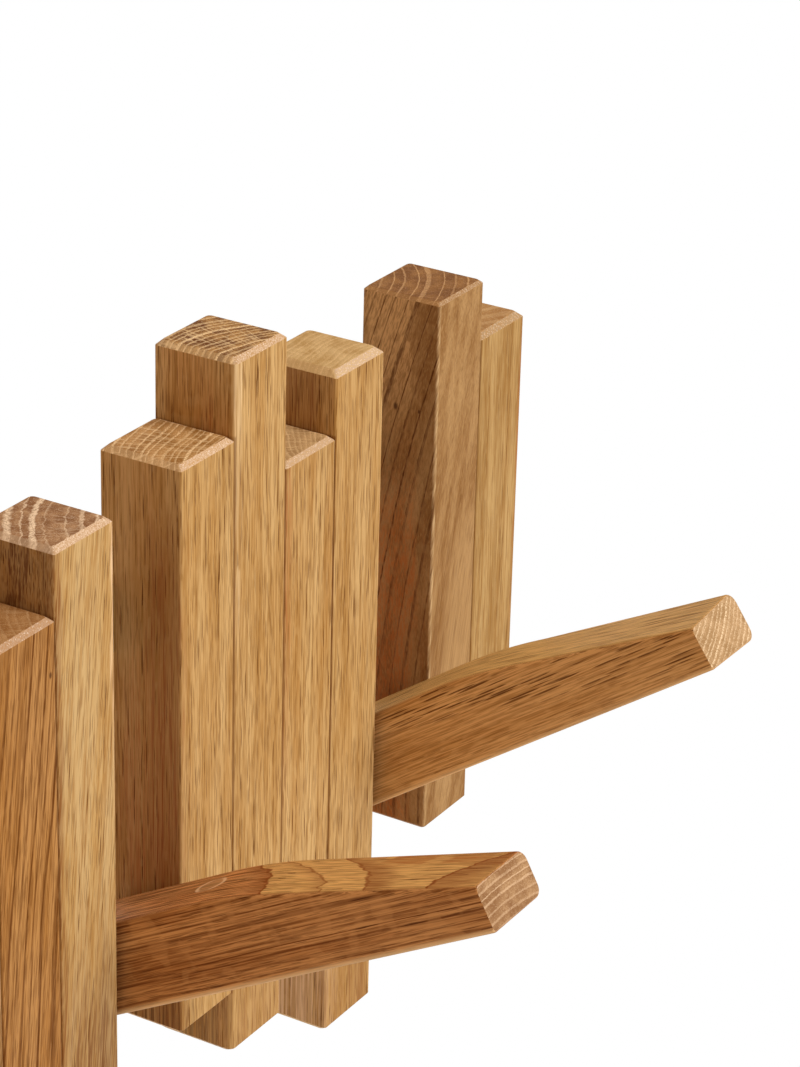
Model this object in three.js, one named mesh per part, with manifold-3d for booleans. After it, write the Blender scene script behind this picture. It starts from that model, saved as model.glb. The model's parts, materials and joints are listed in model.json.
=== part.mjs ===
// Wall coat rack: a row of upright square oak bars of different lengths, in blocks of two and four.
// Between the blocks are open slots. A flat tapered hook turns on a steel pin in each slot: it folds
// out to the front, and stands flush among the bars when it is closed.
// Millimetres. +X runs along the row, -Y points into the room, +Z is up. The origin is on the wall
// plane, at the middle of the upper rail.

import * as THREE from 'three';
import { mergeVertices } from 'three/addons/utils/BufferGeometryUtils.js';
import Module from 'manifold-3d';

const wasm = await Module();
wasm.setup();

// Bars
const barWidth = 25;
const barDepth = 26;
const endChamfer = 1.5;
const edgeEase = 1;
// How far every bar rises above the pin line and drops below it, in blocks from left to right.
// An open slot with a hook lies between each block and the next.
const blocks = [
  [
    { rise: 129, drop: 21 },
    { rise: 145, drop: 28 },
  ],
  [
    { rise: 136, drop: 36 },
    { rise: 154, drop: 57 },
    { rise: 125, drop: 40 },
    { rise: 142, drop: 30 },
  ],
  [
    { rise: 133, drop: 33 },
    { rise: 149, drop: 63 },
    { rise: 120, drop: 43 },
    { rise: 138, drop: 32 },
  ],
  [
    { rise: 140.5, drop: 31.5 },
    { rise: 162, drop: 51 },
    { rise: 123.5, drop: 39 },
    { rise: 142, drop: 70.5 },
  ],
  [
    { rise: 145, drop: 26.5 },
    { rise: 127.5, drop: 18 },
  ],
];

// Slots and hooks
const slotWidth = 30;
const hookSideGap = 3.25;
const hookLength = 134.5;
const hookTipThickness = 13;
const hookBackGap = 0.3;
const kneeHeight = 57;
const kneeRadius = 180;
const tipRounding = 1.5;
const heelFrontRounding = 1.5;
const heelBackRounding = 8;
const hookEdgeEase = 1;
// How far each hook's pin lies under the pin line, and the slope of the open hook above level.
const hooks = [
  { pinDrop: 2, openSlope: 32 },
  { pinDrop: 4.5, openSlope: 29 },
  { pinDrop: 4.5, openSlope: 29 },
  { pinDrop: 0, openSlope: 35 },
];

// Hook pins and washers
const pinDepth = 10;
const pinRadius = 2.5;
const pinGrip = 12;
const pinEndGap = 0.5;
const pinHoleGap = 0.08;
const washerRadius = 6;
const washerBarGap = 0.1;
const washerHookGap = 0.15;

// Rails let into the backs of the bars
const railThickness = 4;
const railEndMargin = 7;
const upperRailHeight = 20;
const lowerRailHeight = 12;
const grooveGap = 0.25;
const stopGap = 0.3;
const heelClearance = 0.7;
const wallScrewRadius = 2.5;

// Rail screws
const screwLength = 18;
const shankRadius = 1.6;
const headRadius = 3.2;
const headHeight = 2;
const headRecess = 0.3;
const screwPoint = 3;
const screwHoleGap = 0.15;
const socketRadius = 1.3;
const socketDepth = 1.2;

const roundSegments = 24;
const hookCurveSegments = 5;
const screwSegments = 12;

// Worked out from the sizes above
const slotCount = blocks.length - 1;
const barCount = blocks.flat().length;
const rowWidth = barCount * barWidth + slotCount * slotWidth;
const hookWidth = slotWidth - 2 * hookSideGap;
const hookThickness = barDepth - hookBackGap;
const hookBack = hookThickness - pinDepth;
const stopDistance = barDepth - railThickness - pinDepth;
const heelReach = stopDistance - stopGap;
const pinY = pinDepth - barDepth;
const washerThickness = hookSideGap - washerBarGap - washerHookGap;

const oak = { color: 0xb98a58, roughness: 0.6, metalness: 0 };
const redOak = { color: 0x9a6a42, roughness: 0.55, metalness: 0 };
const oliveOak = { color: 0xa17c4f, roughness: 0.55, metalness: 0 };
const steel = { color: 0xb8bab8, roughness: 0.35, metalness: 1 };
const darkSteel = { color: 0x3a3b3d, roughness: 0.5, metalness: 1 };

// Solids are cut with each other here, and come back as plain geometry.
function toSolid(geometry) {
  const plain = geometry.clone();
  plain.deleteAttribute('normal');
  plain.deleteAttribute('uv');
  const merged = mergeVertices(plain, 1e-5);
  const mesh = new wasm.Mesh({
    numProp: 3,
    vertProperties: new Float32Array(merged.attributes.position.array),
    triVerts: new Uint32Array(merged.index.array),
  });
  return new wasm.Manifold(mesh);
}

function toGeometry(solid) {
  const mesh = solid.getMesh();
  const geometry = new THREE.BufferGeometry();
  geometry.setAttribute('position', new THREE.BufferAttribute(new Float32Array(mesh.vertProperties), 3));
  geometry.setIndex(new THREE.BufferAttribute(new Uint32Array(mesh.triVerts), 1));
  geometry.computeVertexNormals();
  return geometry;
}

function cut(body, tools) {
  let solid = toSolid(body);
  for (const tool of tools) {
    solid = solid.subtract(toSolid(tool));
  }
  return toGeometry(solid);
}

// A block between two corners
function boxBetween([x0, y0, z0], [x1, y1, z1]) {
  const box = new THREE.BoxGeometry(x1 - x0, y1 - y0, z1 - z0);
  return box.translate((x0 + x1) / 2, (y0 + y1) / 2, (z0 + z1) / 2);
}

// A rod along the row, from one end to the other
function rodAlongX(radius, x0, x1, y, z) {
  const rod = new THREE.CylinderGeometry(radius, radius, x1 - x0, roundSegments);
  return rod.rotateZ(-Math.PI / 2).translate((x0 + x1) / 2, y, z);
}

// A round peg along Y between two depths
function pegAlongY(radius, y0, y1, x, z) {
  const peg = new THREE.CylinderGeometry(radius, radius, y1 - y0, screwSegments);
  return peg.translate(x, (y0 + y1) / 2, z);
}

const rack = new THREE.Group();

function addPiece(name, geometry, look) {
  const piece = new THREE.Mesh(geometry, new THREE.MeshStandardMaterial(look));
  piece.name = name;
  rack.add(piece);
  return piece;
}

// Heights. The upper rail lies across the wall line. A closed hook's back meets its lower edge, where
// the taper has drawn in by the rail's thickness, and that sets the pin line.
const upperRailTop = upperRailHeight / 2;
const upperRailBottom = -upperRailHeight / 2;
const closedThickness = barDepth - railThickness - stopGap;
const taperShare = (hookThickness - closedThickness) / (hookThickness - hookTipThickness);
const pinLine = upperRailBottom - kneeHeight - taperShare * (hookLength - kneeHeight);

// The row: each bar gets its left face, and each slot the middle of its gap.
const bars = [];
const slots = [];
let edge = -rowWidth / 2;
for (const [index, block] of blocks.entries()) {
  for (const [place, bar] of block.entries()) {
    const besideLeftSlot = place === 0 && index > 0;
    const besideRightSlot = place === block.length - 1 && index < slotCount;
    bars.push({
      top: pinLine + bar.rise,
      bottom: pinLine - bar.drop,
      left: edge,
      leftSlot: besideLeftSlot ? index - 1 : null,
      rightSlot: besideRightSlot ? index : null,
    });
    edge += barWidth;
  }
  if (index < slotCount) {
    const { pinDrop, openSlope } = hooks[index];
    slots.push({ middle: edge + slotWidth / 2, pinHeight: pinLine - pinDrop, openSlope });
    edge += slotWidth;
  }
}

// The lower rail lies just low enough for each heel to pass over it as its hook closes.
function heelPassage(openSlope) {
  const closing = THREE.MathUtils.degToRad(90 - openSlope);
  return (heelReach + heelClearance - stopDistance * Math.cos(closing)) / Math.sin(closing);
}

const lowerRailTop = Math.min(...slots.map((slot) => slot.pinHeight - heelPassage(slot.openSlope)));
const lowerRailBottom = lowerRailTop - lowerRailHeight;
const railEnd = rowWidth / 2 - barWidth - railEndMargin;

// Rails are screwed to the bars beside the slots.
const screwedBars = bars.filter((bar) => bar.leftSlot !== null || bar.rightSlot !== null);
const rails = [
  { name: 'upper', bottom: upperRailBottom, top: upperRailTop, hasWallHoles: true },
  { name: 'lower', bottom: lowerRailBottom, top: lowerRailTop, hasWallHoles: false },
];
const shankHoleRadius = shankRadius + screwHoleGap;

function barGeometry(bar) {
  const outline = new THREE.Shape();
  outline.moveTo(edgeEase, 0);
  outline.lineTo(barWidth - edgeEase, 0);
  outline.lineTo(barWidth, edgeEase);
  outline.lineTo(barWidth, barDepth - edgeEase);
  outline.lineTo(barWidth - edgeEase, barDepth);
  outline.lineTo(edgeEase, barDepth);
  outline.lineTo(0, barDepth - edgeEase);
  outline.lineTo(0, edgeEase);
  outline.closePath();
  const blank = new THREE.ExtrudeGeometry(outline, {
    depth: bar.top - bar.bottom - 2 * endChamfer,
    bevelThickness: endChamfer,
    bevelSize: endChamfer,
    bevelOffset: -endChamfer,
    bevelSegments: 1,
  });
  blank.translate(bar.left, -barDepth, bar.bottom + endChamfer);

  const tools = [];
  for (const rail of rails) {
    const middle = (rail.bottom + rail.top) / 2;
    const low = [-railEnd - grooveGap, -railThickness, rail.bottom - grooveGap];
    const high = [railEnd + grooveGap, railThickness, rail.top + grooveGap];
    if (bar.left < railEnd && bar.left + barWidth > -railEnd) {
      tools.push(boxBetween(low, high));
    }
    if (screwedBars.includes(bar)) {
      const x = bar.left + barWidth / 2;
      tools.push(pegAlongY(shankHoleRadius, -screwLength - 1, 0, x, middle));
    }
  }
  const holeRadius = pinRadius + pinHoleGap;
  if (bar.leftSlot !== null) {
    const height = slots[bar.leftSlot].pinHeight;
    tools.push(rodAlongX(holeRadius, bar.left - 1, bar.left + pinGrip, pinY, height));
  }
  if (bar.rightSlot !== null) {
    const right = bar.left + barWidth;
    const height = slots[bar.rightSlot].pinHeight;
    tools.push(rodAlongX(holeRadius, right - pinGrip, right + 1, pinY, height));
  }
  return tools.length > 0 ? cut(blank, tools) : blank;
}

for (const [index, bar] of bars.entries()) {
  addPiece(`bar_${String(index + 1).padStart(2, '0')}`, barGeometry(bar), oak);
}

// An arc round the inside of a corner, in an outline that is drawn clockwise
function roundCorner(outline, before, corner, after, radius) {
  const back = before.clone().sub(corner).normalize();
  const on = after.clone().sub(corner).normalize();
  const half = Math.acos(back.dot(on)) / 2;
  const inward = back.clone().add(on).normalize();
  const centre = corner.clone().addScaledVector(inward, radius / Math.sin(half));
  const reach = radius / Math.tan(half);
  const start = corner.clone().addScaledVector(back, reach).sub(centre);
  const end = corner.clone().addScaledVector(on, reach).sub(centre);
  outline.absarc(centre.x, centre.y, radius, start.angle(), end.angle(), true);
}

// The hook's side outline, about its pin, with the hook standing closed: x runs from the front to
// the wall and y runs up to the tip. The front is straight and the back tapers above a soft knee.
// The heel is rounded at the back, down to a flat that stands upright when the hook is open.
function hookOutline(openSlope) {
  const slope = THREE.MathUtils.degToRad(openSlope);
  const heelFlat = (x) => new THREE.Vector2(x, (x * Math.sin(slope) - heelReach) / Math.cos(slope));
  const heelFront = heelFlat(-pinDepth);
  const heelBack = heelFlat(hookBack);
  const tipFront = new THREE.Vector2(-pinDepth, hookLength);
  const tipBack = new THREE.Vector2(hookTipThickness - pinDepth, hookLength);
  const knee = new THREE.Vector2(hookBack, kneeHeight);

  const outline = new THREE.Shape();
  roundCorner(outline, heelFront, tipFront, tipBack, tipRounding);
  roundCorner(outline, tipFront, tipBack, knee, tipRounding);
  roundCorner(outline, tipBack, knee, heelBack, kneeRadius);
  roundCorner(outline, knee, heelBack, heelFront, heelBackRounding);
  roundCorner(outline, heelBack, heelFront, tipFront, heelFrontRounding);
  return outline;
}

function hookGeometry(openSlope) {
  const geometry = new THREE.ExtrudeGeometry(hookOutline(openSlope), {
    depth: hookWidth - 2 * hookEdgeEase,
    bevelThickness: hookEdgeEase,
    bevelSize: hookEdgeEase,
    bevelOffset: -hookEdgeEase,
    bevelSegments: 2,
    curveSegments: hookCurveSegments,
  });
  geometry.translate(0, 0, hookEdgeEase - hookWidth / 2);
  const acrossTheRow = new THREE.Matrix4().makeBasis(
    new THREE.Vector3(0, 1, 0),
    new THREE.Vector3(0, 0, 1),
    new THREE.Vector3(1, 0, 0),
  );
  geometry.applyMatrix4(acrossTheRow);
  const holeRadius = (pinRadius + pinHoleGap) / Math.cos(Math.PI / roundSegments);
  return cut(geometry, [rodAlongX(holeRadius, -hookWidth, hookWidth, 0, 0)]);
}

function washerGeometry() {
  const ring = new THREE.Shape();
  ring.absarc(0, 0, washerRadius, 0, 2 * Math.PI, false);
  const hole = new THREE.Path();
  hole.absarc(0, 0, pinRadius + pinHoleGap, 0, 2 * Math.PI, false);
  ring.holes.push(hole);
  const washer = new THREE.ExtrudeGeometry(ring, {
    depth: washerThickness,
    bevelEnabled: false,
    curveSegments: roundSegments / 2,
  });
  return washer.rotateX(Math.PI / 2).rotateZ(Math.PI / 2);
}

const hookLooks = [oliveOak, redOak, redOak, oliveOak];
for (const [index, slot] of slots.entries()) {
  const number = index + 1;
  const hook = addPiece(`hook_${number}`, hookGeometry(slot.openSlope), hookLooks[index]);
  hook.position.set(slot.middle, pinY, slot.pinHeight);
  hook.rotation.x = THREE.MathUtils.degToRad(90 - slot.openSlope);

  const reach = slotWidth / 2 + pinGrip - pinEndGap;
  const pin = rodAlongX(pinRadius, -reach, reach, 0, 0);
  addPiece(`hook_pin_${number}`, pin, steel).position.set(slot.middle, pinY, slot.pinHeight);

  const leftWasher = addPiece(`washer_${number}_left`, washerGeometry(), darkSteel);
  const leftFace = slot.middle - slotWidth / 2 + washerBarGap;
  leftWasher.position.set(leftFace, pinY, slot.pinHeight);
  const rightWasher = addPiece(`washer_${number}_right`, washerGeometry(), darkSteel);
  const rightFace = slot.middle + slotWidth / 2 - washerBarGap - washerThickness;
  rightWasher.position.set(rightFace, pinY, slot.pinHeight);
}

// A countersunk hole for a rail screw, opening at the wall
function countersink(x, z) {
  const holeRadius = headRadius + screwHoleGap;
  const profile = [
    new THREE.Vector2(0, -2 * railThickness),
    new THREE.Vector2(shankHoleRadius, -2 * railThickness),
    new THREE.Vector2(shankHoleRadius, -headRecess - headHeight),
    new THREE.Vector2(holeRadius, -headRecess),
    new THREE.Vector2(holeRadius, railThickness),
    new THREE.Vector2(0, railThickness),
  ];
  return new THREE.LatheGeometry(profile, screwSegments).translate(x, 0, z);
}

// A rail has a countersunk hole for every screw. The upper one also has a plain hole in each slot for
// a screw into the wall, which the closed hook covers.
function railGeometry(rail) {
  const middle = (rail.bottom + rail.top) / 2;
  const blank = boxBetween([-railEnd, -railThickness, rail.bottom], [railEnd, 0, rail.top]);
  const tools = screwedBars.map((bar) => countersink(bar.left + barWidth / 2, middle));
  if (rail.hasWallHoles) {
    for (const slot of slots) {
      tools.push(pegAlongY(wallScrewRadius, -2 * railThickness, railThickness, slot.middle, middle));
    }
  }
  return cut(blank, tools);
}

function screwGeometry() {
  const profile = [
    new THREE.Vector2(0, -screwLength),
    new THREE.Vector2(shankRadius, screwPoint - screwLength),
    new THREE.Vector2(shankRadius, -headRecess - headHeight),
    new THREE.Vector2(headRadius, -headRecess),
    new THREE.Vector2(0, -headRecess),
  ];
  const blank = new THREE.LatheGeometry(profile, screwSegments);
  const socket = new THREE.CylinderGeometry(socketRadius, socketRadius, 2 * socketDepth, 6);
  socket.translate(0, -headRecess, 0);
  return cut(blank, [socket]);
}

for (const rail of rails) {
  addPiece(`${rail.name}_rail`, railGeometry(rail), steel);
  for (const [index, bar] of screwedBars.entries()) {
    const screw = addPiece(`${rail.name}_screw_${index + 1}`, screwGeometry(), darkSteel);
    screw.position.set(bar.left + barWidth / 2, 0, (rail.bottom + rail.top) / 2);
  }
}

export default rack;
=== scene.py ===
import json
import math

import bmesh
import bpy
from mathutils import Matrix, Vector


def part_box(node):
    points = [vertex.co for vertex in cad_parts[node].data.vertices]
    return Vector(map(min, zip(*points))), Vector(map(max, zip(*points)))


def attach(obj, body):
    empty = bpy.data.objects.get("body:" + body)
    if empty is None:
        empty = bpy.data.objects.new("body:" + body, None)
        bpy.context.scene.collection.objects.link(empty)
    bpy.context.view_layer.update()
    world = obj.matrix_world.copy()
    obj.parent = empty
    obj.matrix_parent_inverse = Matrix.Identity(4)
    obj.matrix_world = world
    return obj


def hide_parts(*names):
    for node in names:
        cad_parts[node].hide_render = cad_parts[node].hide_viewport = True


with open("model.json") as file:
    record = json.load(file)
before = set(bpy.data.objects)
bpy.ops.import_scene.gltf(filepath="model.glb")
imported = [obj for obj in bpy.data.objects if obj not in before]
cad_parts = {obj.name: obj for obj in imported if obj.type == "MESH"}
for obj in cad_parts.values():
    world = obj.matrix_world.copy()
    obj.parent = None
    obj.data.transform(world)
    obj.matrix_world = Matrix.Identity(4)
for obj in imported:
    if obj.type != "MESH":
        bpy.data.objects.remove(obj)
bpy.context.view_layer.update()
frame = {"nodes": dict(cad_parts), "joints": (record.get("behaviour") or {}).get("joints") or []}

# Wall coat rack: the looks of its oak bars, folding hooks and steel parts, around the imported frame.
# Metres, in the frame's own axes: +X along the row, -Y into the room, +Z up.

MM = 0.001

# The row: its bars, its hooks, and which hooks are of the red wood
BAR_COUNT = sum(name.startswith("bar_") for name in frame["nodes"])
HOOK_COUNT = len(frame["joints"])
RED_HOOKS = (2, 3)

# Bars: the chamfer round each end, the rounding of the long edges and that of the chamfer's own edges
BAR_CHAMFER = 1.5 * MM
BAR_EDGE = 0.9 * MM
CHAMFER_SOFTNESS = 0.35 * MM
# Along the chamfer the long edges grow rounder, by this share of the way that it has come in
EDGE_GROWTH = 0.3
# The room round a pin and round a rail
PIN_HOLE_GAP = 0.08 * MM
GROOVE_GAP = 0.25 * MM
# Bars nearer to each other than this are joined, and get painted shade along the seam
TOUCHING_GAP = 0.2 * MM

# Hooks, in a frame on the pin: y across the thickness, z along the length
HOOK_UNDER = -10 * MM
HOOK_BACK = 15.7 * MM
HOOK_LENGTH = 134.5 * MM
HOOK_TIP = 13 * MM
HOOK_WIDTH = 23.5 * MM
# The rounding of the long edges, from the under side's left one round to the back's left one
HOOK_EDGES = (1.2 * MM, 2 * MM, 2.5 * MM, 1.6 * MM)
KNEE_HEIGHT = 57 * MM
KNEE_RADIUS = 180 * MM
HEEL_REACH = 11.7 * MM
HEEL_UNDER_ROUNDING = 1.5 * MM
HEEL_BACK_ROUNDING = 8 * MM
TIP_ROUNDING = 0.8 * MM
CAP_SOFTNESS = 0.4 * MM
# Hooks that aren't sawn quite square: how much thicker and longer the right side is at the tip. The
# difference grows from the place where the closed hook meets the upper rail.
UNEVEN_TIPS = {4: (1.9 * MM, 1.3 * MM)}
UNEVEN_START = 80 * MM

# Steps along each arc, and round a pin hole
EDGE_STEPS = 5
CHAMFER_STEPS = 3
HEEL_STEPS = 8
KNEE_STEPS = 16
TIP_STEPS = 4
HOLE_STEPS = 48
# Edges that turn more than this stay sharp, in degrees
SHARP_ANGLE = 50

# The photograph's camera: turned from +Y towards +X, tilted down and rolled, in degrees. The lens and
# the sensor are in millimetres.
CAMERA_PLACE = (-0.61568, -0.50592, 0.41511)
CAMERA_TURN = 59.25
CAMERA_TILT = 24.43
CAMERA_ROLL = 1.53
CAMERA_LENS = 120.41
CAMERA_SENSOR = 36
CAMERA_NEAREST = 0.01

# The light: a soft sun from the front and above, and a warm dome round it
SUN_FROM = (0.06, -0.72, 0.65)
SUN_STRENGTH = 2.82
SUN_COLOUR = (0.928, 0.981, 1.0)
SUN_WIDTH = 35
DOME_STRENGTH = 0.44
DOME_COLOUR = (1.0, 0.68, 0.48, 1)
WHITE = (1, 1, 1, 1)

# The rack hangs this far above the floor, which reaches this far each way
HANGING_HEIGHT = 1.5
FLOOR_REACH = 6
FLOOR_WHITE = (0.9, 0.9, 0.9, 1)


def rgb(red, green, blue):
    """A colour of 0 to 255, as it looks on a screen, as the linear colour that Blender wants."""
    def linear(value):
        value = value / 255
        return value / 12.92 if value <= 0.04045 else ((value + 0.055) / 1.055) ** 2.4

    return (linear(red), linear(green), linear(blue), 1)


class Graph:
    """The node tree of one material or world, with short ways to add its nodes."""

    def __init__(self, owner):
        owner.use_nodes = True
        self.tree = owner.node_tree
        self.tree.nodes.clear()

    def add(self, kind, inputs=None, **settings):
        node = self.tree.nodes.new(kind)
        for key, value in settings.items():
            setattr(node, key, value)
        for key, value in (inputs or {}).items():
            if isinstance(value, bpy.types.NodeSocket):
                self.tree.links.new(value, node.inputs[key])
            else:
                node.inputs[key].default_value = value
        return node

    def math(self, operation, *values):
        return self.add("ShaderNodeMath", dict(enumerate(values)), operation=operation).outputs[0]

    def times(self, first, second):
        return self.math("MULTIPLY", first, second)

    def vector(self, operation, *values):
        inputs = dict(enumerate(values))
        return self.add("ShaderNodeVectorMath", inputs, operation=operation).outputs[0]

    def length(self, vector):
        return self.add("ShaderNodeVectorMath", {0: vector}, operation="LENGTH").outputs["Value"]

    def axes(self, vector):
        return self.add("ShaderNodeSeparateXYZ", {0: vector}).outputs

    def combine(self, *axes):
        return self.add("ShaderNodeCombineXYZ", dict(enumerate(axes))).outputs[0]

    def ramp(self, value, start, end, low=0.0, high=1.0):
        inputs = {"Value": value, "From Min": start, "From Max": end, "To Min": low, "To Max": high}
        return self.add("ShaderNodeMapRange", inputs, interpolation_type="SMOOTHSTEP").outputs[0]

    def mix(self, factor, first, second):
        inputs = {0: factor, 6: first, 7: second}
        return self.add("ShaderNodeMix", inputs, data_type="RGBA", clamp_factor=True).outputs[2]

    def noise(self, place, stretch, detail=2.0, distortion=0.0):
        scaled = self.vector("MULTIPLY", place, stretch)
        inputs = {"Vector": scaled, "Scale": 1.0, "Detail": detail, "Distortion": distortion}
        return self.add("ShaderNodeTexNoise", inputs).outputs


PLAIN_OAK = {
    # Colours of the long faces
    "light": (209, 171, 114),
    "middle": (191, 147, 87),
    "streak": (150, 104, 44),
    "pore": (98, 56, 14),
    # Colours of the sawn ends and of their chamfers
    "end_dark": (136, 90, 38),
    "end_light": (180, 134, 76),
    "end_line": (238, 203, 150),
    "chamfer": (208, 178, 147),
    # How far a surface turns along the grain before it counts as sawn across
    "sawn": 0.35,
    # The growth rings, in millimetres across the grain at the piece's upper end: the pith, a ring's
    # width and the open share of it, the middle and reach of a stretch with no open wood, and how
    # far the rings stray, slowly and finely
    "pith": (-60.0, 40.0),
    "ring": 2.0,
    "line": 0.4,
    "quiet": None,
    "drift": 3.0,
    "wander": 0.4,
    # The grain's lean towards x and y, in millimetres for each millimetre up, and its bend
    "lean": (0.0, 0.0),
    "bend": 0.0,
    # Where in the board the piece was cut, along the grain and across it
    "shift": 0.0,
    "board": 0.0,
    # How strongly the fibres show, and the rings' lines: in all, between fibres, and on the front
    "streaks": 0.42,
    "threads": 0.45,
    "lines": 0.4,
    "unbroken": 0.35,
    "front_lines": 1.0,
    # Fine pores and bold ones: their strength, and the bold ones' size, share and place
    "fine": 0.62,
    "pores": 0.95,
    "pore_size": 1.7,
    "pore_share": 0.5,
    "zone": None,
    # How strongly the rings show on the ends, how broken they are there, and the rays
    "bands": 0.8,
    "beads": 0.5,
    "rays": 0.4,
    # Marks of one piece alone, each described by the function that adds it. The seam lines are painted
    # shade, the pale hook edge is a painted highlight, and some stripes are painted light and shade
    "joints": (),
    "joint": 0.6,
    "seam_shade_reach": 0.3,
    "edge_highlight": None,
    "stripes": (),
    "knots": (),
    "crossings": (),
    "crossing": (138, 72, 28),
    "golden": None,
    "heel": (222, 170, 104),
    "fleck": None,
}

# Colours of marks that look the same on every piece
CHAMFER_TICK = (250, 232, 208)
# Painted shade in the narrow seam between two bars
SEAM_SHADE = (106, 56, 14)
# Painted highlight along the under edge of a hook's sides
EDGE_HIGHLIGHT = (246, 212, 158)
KNOT = (78, 44, 20)
FLECK = (196, 150, 100)
FLECK_RIM = (240, 204, 160)


def grain_place(graph, look, source, top):
    """Millimetres in the piece's own axes from its upper end, sheared so that z runs along the grain."""
    place = graph.vector("MULTIPLY", source["Object"], (1000, 1000, 1000))
    place = graph.vector("SUBTRACT", place, (0, 0, top / MM))
    height = graph.axes(place)[2]
    bent = graph.times(graph.times(height, height), look["bend"])
    across = graph.times(height, look["lean"][0])
    outward = graph.math("MULTIPLY_ADD", height, look["lean"][1], bent)
    return graph.vector("SUBTRACT", place, graph.combine(across, outward, -look["shift"]))


def from_pith(graph, look, place, board):
    """The way across the grain from the pith, with a slow drift along the grain and a fine waver."""
    slow = graph.noise(board, (0.035, 0.035, 0.012), 1.0)["Color"]
    fine = graph.noise(board, (0.5, 0.5, 0.03), 3.0)["Color"]
    moved = place
    for noise, reach in ((slow, look["drift"]), (fine, look["wander"])):
        centred = graph.vector("SUBTRACT", noise, (0.5, 0.5, 0.5))
        offset = graph.vector("MULTIPLY", centred, (reach * 2, reach * 2, 0))
        moved = graph.vector("ADD", moved, offset)
    across = graph.vector("SUBTRACT", moved, (*look["pith"], 0))
    return graph.vector("MULTIPLY", across, (1, 1, 0))


def growth_rings(graph, look, radius):
    """Two fields: the open early wood that starts each ring, and the dense wood that ends it."""
    inputs = {"W": graph.math("DIVIDE", radius, 7.0), "Scale": 1.0}
    uneven = graph.add("ShaderNodeTexNoise", inputs, noise_dimensions="1D").outputs[0]
    even = graph.math("DIVIDE", radius, look["ring"])
    count = graph.math("ADD", even, graph.times(uneven, 1.4))
    part = graph.math("FRACT", count)
    fall = graph.ramp(part, look["line"] * 0.5, look["line"], 1.0, 0.0)
    rise = graph.ramp(part, 0.93, 1.0, 0.0, 1.0)
    number = graph.math("FLOOR", count)
    strength = graph.add("ShaderNodeTexWhiteNoise", {"W": number}, noise_dimensions="1D").outputs[0]
    early = graph.math("MAXIMUM", fall, rise)
    early = graph.times(early, graph.ramp(strength, 0.0, 1.0, 0.5, 1.0))
    late = graph.ramp(part, 0.5, 0.92, 0.0, 1.0)
    if look["quiet"]:
        centre, reach = look["quiet"]
        away = graph.math("ABSOLUTE", graph.math("SUBTRACT", radius, centre))
        early = graph.times(early, graph.ramp(away, reach * 0.8, reach, 0.0, 1.0))
    return early, late


def vessels(graph, place, size, low, high):
    """Open pores: dots on an end, dashes along a face. The size is in cells for each millimetre."""
    stretched = graph.vector("MULTIPLY", place, size)
    cells = graph.add("ShaderNodeTexVoronoi", {"Vector": stretched, "Scale": 1.0})
    dot = graph.ramp(cells.outputs["Distance"], low, high, 1.0, 0.0)
    chance = graph.add("ShaderNodeSeparateColor", {0: cells.outputs["Color"]}).outputs[0]
    return dot, chance


def ray_sheets(graph, look, place, across, radius):
    """Thin pale sheets that run out from the pith."""
    split = graph.axes(across)
    angle = graph.math("ARCTAN2", split[1], split[0])
    height = graph.axes(place)[2]
    round_pith = graph.times(angle, math.hypot(*look["pith"]) * 1.3)
    sheet = graph.combine(round_pith, graph.times(radius, 0.09), graph.times(height, 0.16))
    noise = graph.add("ShaderNodeTexNoise", {"Vector": sheet, "Scale": 1.0, "Detail": 1.0}).outputs[0]
    return graph.ramp(noise, 0.56, 0.66)


def pore_zone(graph, look, source):
    """1 inside the sloping band where a piece shows most of its pores: its middle at the piece's
    origin, its slope and its reach."""
    start, slope, reach = look["zone"]
    axes = graph.axes(source["Object"])
    middle = graph.math("MULTIPLY_ADD", axes[2], slope, start * MM)
    away = graph.math("ABSOLUTE", graph.math("SUBTRACT", axes[1], middle))
    return graph.ramp(away, reach * 0.5 * MM, reach * 1.5 * MM, 1.0, 0.15)


def wood_fields(graph, look, source, top):
    """Every pattern that the colours are mixed from, as numbers from 0 to 1."""
    place = grain_place(graph, look, source, top)
    board = graph.vector("ADD", place, (look["board"], 0, 0))
    if look["golden"]:
        # On a hook's back the fibres follow its taper, so they take no notice of the depth
        kept = graph.math("SUBTRACT", 1.0, back_places(graph, source)[2])
        board = graph.vector("MULTIPLY", board, graph.combine(1.0, kept, 1.0))
    across = from_pith(graph, look, place, board)
    radius = graph.length(across)
    early, late = growth_rings(graph, look, radius)
    fine_dot, fine_chance = vessels(graph, board, (2.6, 2.6, 0.11), 0.26, 0.4)
    size = look["pore_size"]
    bold_dot, bold_chance = vessels(graph, board, (size, size, size * 0.04), 0.25, 0.38)
    share = look["pore_share"]
    chosen = graph.ramp(bold_chance, 0.95 - share, 1.05 - share)
    near = graph.ramp(early, 0.0, 0.7, 0.35, 1.0)
    if look["zone"]:
        near = pore_zone(graph, look, source)
    bold = graph.times(graph.times(bold_dot, chosen), near)
    return {
        "early": early,
        "late": late,
        "rays": ray_sheets(graph, look, place, across, radius),
        "fine": graph.times(fine_dot, graph.ramp(fine_chance, 0.3, 0.6)),
        "bold": bold,
        "fibre": graph.noise(board, (1.8, 1.8, 0.04), 3.0, 0.25)[0],
        "thread": graph.noise(board, (2.6, 2.6, 0.08), 2.0, 0.25)[0],
        "tone": graph.noise(board, (0.16, 0.16, 0.012), 2.0)[0],
    }


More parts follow.
